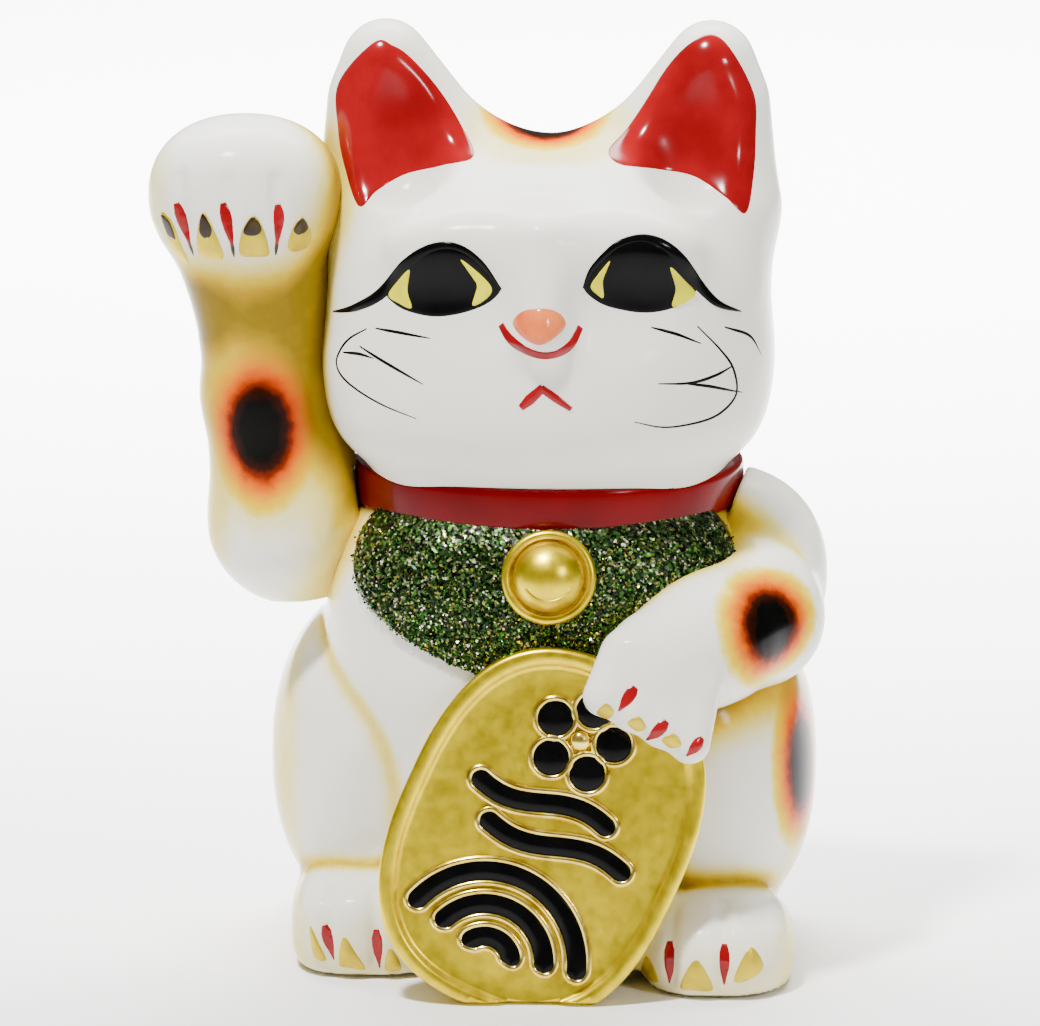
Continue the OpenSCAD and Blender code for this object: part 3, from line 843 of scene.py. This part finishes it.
BELL_R, DOME_R, DOME_H = 11.6, 8.8, 7.4
on_chest = placed((1.7, -46.3, 102), ("X", 75))
bell_ring = [(BELL_R - 1.2 + 1.2 * math.cos(t), 2.4 + 1.3 * math.sin(t)) for t in np.linspace(0.2, 2.9, 9)]
bell_dome = [(DOME_R * math.cos(t), 2.5 + DOME_H * math.sin(t)) for t in np.linspace(0.05, 1.5, 16)]
bell_profile = [(0, 0), (BELL_R - 0.6, 0), (BELL_R, 0.6), (BELL_R, 2.2), *bell_ring,
                (DOME_R + 0.3, 2.3), (DOME_R, 2.4), *bell_dome, (0, 2.5 + DOME_H)]
SMILE_R, SMILE_Z, SMILE_N = 6.2, 7.75, 28
smile = np.linspace(math.radians(205), math.radians(335), SMILE_N)
ridge = np.column_stack([SMILE_R * np.cos(smile), SMILE_R * np.sin(smile), np.full(SMILE_N, SMILE_Z)])
ridge_r = np.interp(np.abs(np.linspace(-1, 1, SMILE_N)), [0, 0.8, 1], [0.5, 0.4, 0.12])
piece("bell", [posed(turned(bell_profile), on_chest), posed(tube(ridge, ridge_r), on_chest)],
      GOLD, "gold_lustre", "bell")

# ---------------------------------------------------------------- coin

COIN_A, COIN_B, COIN_POWER, FIELD_Z = 35.5, 45.2, 2.6, 6.5
BEAD_UP = np.array([0, 0, 0.6])          # how far a bead's middle is above the field
on_coin = placed((0.5, -55, 40), ("Z", -24), ("X", 81))


def coin(sides=160):
    """An oval blank with a raised rim and a sunk field, cut off flat where it stands."""
    a = np.linspace(0, 2 * math.pi, sides, endpoint=False)
    rings = [(0.8, 0), (0.2, 0.3), (0, 0.9), (0, 7), (0.3, 7.7), (1, 8), (2.6, 8), (3.4, 7.7), (3.9, 7),
             (4.2, 6.6), (5, 6.45), (9, 6.5), (20, 6.6), (34, 6.7)]
    bulge = lambda v: math.copysign(abs(v) ** (2 / COIN_POWER), v)
    points = [(0, 0, 0), *[((COIN_A - i) * bulge(math.cos(t)), (COIN_B - i) * bulge(math.sin(t)),
                            z + 0.05 * math.sin(4 * t + i)) for i, z in rings for t in a], (0, 0, 6.7)]
    end = len(points) - 1
    faces = [(0, 1 + (j + 1) % sides, 1 + j) for j in range(sides)]
    faces += [(1 + i * sides + j, 1 + i * sides + (j + 1) % sides, 1 + (i + 1) * sides + (j + 1) % sides,
               1 + (i + 1) * sides + j) for i in range(len(rings) - 1) for j in range(sides)]
    faces += [(end, end - sides + j, end - sides + (j + 1) % sides) for j in range(sides)]
    return np.array(points, float), faces


def cut_flat(obj, height):
    """Takes off all that is below a height, and closes the cut."""
    bm = bmesh.new()
    bm.from_mesh(obj.data)
    everything = [*bm.verts, *bm.edges, *bm.faces]
    bmesh.ops.bisect_plane(bm, geom=everything, plane_co=(0, 0, height), plane_no=(0, 0, 1), clear_inner=True)
    bmesh.ops.holes_fill(bm, edges=[e for e in bm.edges if e.is_boundary])
    bmesh.ops.triangulate(bm, faces=[f for f in bm.faces if len(f.verts) > 4])
    bmesh.ops.recalc_face_normals(bm, faces=bm.faces)
    bm.to_mesh(obj.data)
    bm.free()


coin_piece = piece("coin", [posed(coin(), on_coin)], GOLD, "gold_lustre", "koban_coin")
cut_flat(coin_piece, STAND_Z * MM)
coin_piece.data.shade_smooth()


def field_plane(p):
    return p[:, Z] - FIELD_Z


def on_field(xy):
    return np.column_stack([xy, np.full(len(xy), FIELD_Z)])


def arc(centre, r, start, sweep, n=40):
    """Points of an arc on the coin's field, angles in degrees."""
    t = np.radians(np.linspace(start, start + sweep, n))
    return on_field(np.column_stack([centre[0] + r * np.cos(t), centre[1] + r * np.sin(t)]))


def bar(line, width):
    """A raised black bar along a line, and the gold bead round it."""
    span = np.concatenate([[0], np.cumsum(np.linalg.norm(np.diff(line, axis=0), axis=1))])
    even = span[-1] * (1 - np.cos(np.linspace(0, math.pi, 64))) / 2
    line, span = np.column_stack([np.interp(even, span, line[:, k]) for k in range(3)]), even
    inset = np.minimum(np.minimum(span, span[-1] - span) / (width / 2), 1)
    half = width / 2 * np.sqrt(np.maximum(1 - (1 - inset) ** 2, 0.003))
    along = np.gradient(line, axis=0)
    side = np.cross(along, [0, 0, 1.0])
    side /= np.linalg.norm(side, axis=1)[:, None]
    rail = np.concatenate([line + side * half[:, None], (line - side * half[:, None])[::-1]])
    black = strip(field_plane, line, 2 * half, lift=1.0, base=0.2)
    return black, tube(rail + BEAD_UP, BEAD, closed=True)


def mist(x, y, half, n=40):
    """Points of a wavy mist band on the coin's field, its middle at (x, y)."""
    across = np.linspace(-half, half, n)
    return on_field(np.column_stack([across + x, y + MIST_RISE * np.sin(across * math.pi / half)]))


BAR, BEAD, MIST_RISE = 6, 0.85, 2.2
PETAL, PETAL_OUT, BLOSSOM, EYE_R = 5, 8.2, (-1, 25), 2.6
lines = [arc((0, -34), r, 12, 156) for r in (6.5, 14.5, 22.5)] + [mist(-3, 7.5, 19), mist(4, -1, 20)]
bars = [bar(line, BAR) for line in lines]
petals = [np.array(BLOSSOM) + PETAL_OUT * np.array([math.cos(t), math.sin(t)])
          for t in np.radians(range(90, 450, 72))]
circle = np.linspace(0, 2 * math.pi, 9)[:-1]
rounds = [spline(middle + PETAL * np.column_stack([np.cos(circle), np.sin(circle)]), 36, closed=True)
          for middle in petals]

black_parts = [black for black, _ in bars]
black_parts += [fill(field_plane, on_field, edge, 0.5, 0.2, dome=0.6, rings=5) for edge in rounds]
bead_parts = [bead for _, bead in bars]
bead_parts += [tube(on_field(edge) + BEAD_UP, BEAD, closed=True) for edge in rounds]
blossom_eye = [(0, -0.3), (EYE_R, -0.3), (EYE_R, 1), (EYE_R - 1, 2), (0, 2.3)]
bead_parts.append(posed(turned(blossom_eye, 32), lambda p: p + [*BLOSSOM, FIELD_Z]))
piece("coin_ornament", [posed(part, on_coin) for part in black_parts], BLACK, "black_enamel", "koban_relief")
# The beads round the ornament are in the lighter gold, a painted highlight.
piece("coin_ornament_edges", [posed(part, on_coin) for part in bead_parts], HIGHLIGHT_GOLD, "gold_lustre")

# ---------------------------------------------------------------- base disc and stopper

CLAY = new_material("bare_clay", (0.72, 0.6, 0.46), 0.85)
plug(CLAY, Base_Color=ramp(CLAY, noise(CLAY, 300, 6.0),
                           [(0.3, (0.6, 0.47, 0.34)), (0.7, (0.76, 0.66, 0.52))]))
bumped(CLAY, noise(CLAY, 900, 4.0), 0.5, 0.0004)
RUBBER = new_material("stopper_rubber", (0.03, 0.03, 0.032), 0.55)
plug(RUBBER, Base_Color=ramp(RUBBER, noise(RUBBER, 200),
                             [(0.3, (0.022, 0.022, 0.024)), (0.7, (0.05, 0.05, 0.052))]))
bumped(RUBBER, noise(RUBBER, 700), 0.3, 0.0002)
for name, material in (("base_plate", CLAY), ("stopper", RUBBER)):
    for slot_of in bpy.data.objects[name].material_slots:
        slot_of.material = material

# ---------------------------------------------------------------- stage

def area_light(name, place, aim, size, power, spread=180):
    data = bpy.data.lights.new(name, "AREA")
    data.shape, data.size, data.energy, data.spread = "SQUARE", size, power, math.radians(spread)
    lamp = bpy.data.objects.new(name, data)
    lamp.location = place
    lamp.rotation_euler = (Vector(aim) - Vector(place)).to_track_quat("-Z", "Y").to_euler()
    bpy.context.scene.collection.objects.link(lamp)


floor_material = new_material("pale_floor", (0.92, 0.92, 0.92), 0.7)
FLOOR_HALF = 4000
corners = [(FLOOR_HALF * x, FLOOR_HALF * y, 0) for x, y in ((-1, -1), (1, -1), (1, 1), (-1, 1))]
floor = mesh_object("floor", [(corners, [(0, 1, 2, 3)])], floor_material, outward=False)

world = bpy.data.worlds.new("studio")
world.use_nodes = True
world.node_tree.nodes["Background"].inputs[0].default_value = (1, 1, 1, 1)
world.node_tree.nodes["Background"].inputs[1].default_value = 0.2
bpy.context.scene.world = world
AIM = (0, 0, 0.12)
area_light("key", (-0.35, -0.5, 1.5), AIM, 0.17, 48)
area_light("fill", (0.8, -0.9, 0.7), AIM, 0.15, 6)
area_light("floor_light", (0, 1.05, 1.3), (0, 1.15, 0), 1.4, 110, spread=100)

# ---------------------------------------------------------------- camera

DISTANCE, VIEW_WIDTH = 3.0, 0.2573
target = Vector((-0.007, 0, 0.1083))
back = Vector((math.sin(AZIMUTH) * math.cos(ELEVATION), -math.cos(AZIMUTH) * math.cos(ELEVATION),
               math.sin(ELEVATION)))
camera_data = bpy.data.cameras.new("camera")
camera_data.sensor_width = 36
camera_data.lens = 36 * DISTANCE / VIEW_WIDTH
camera = bpy.data.objects.new("camera", camera_data)
camera.location = target + DISTANCE * back
camera.rotation_euler = back.to_track_quat("Z", "Y").to_euler()
bpy.context.scene.collection.objects.link(camera)
bpy.context.scene.camera = camera
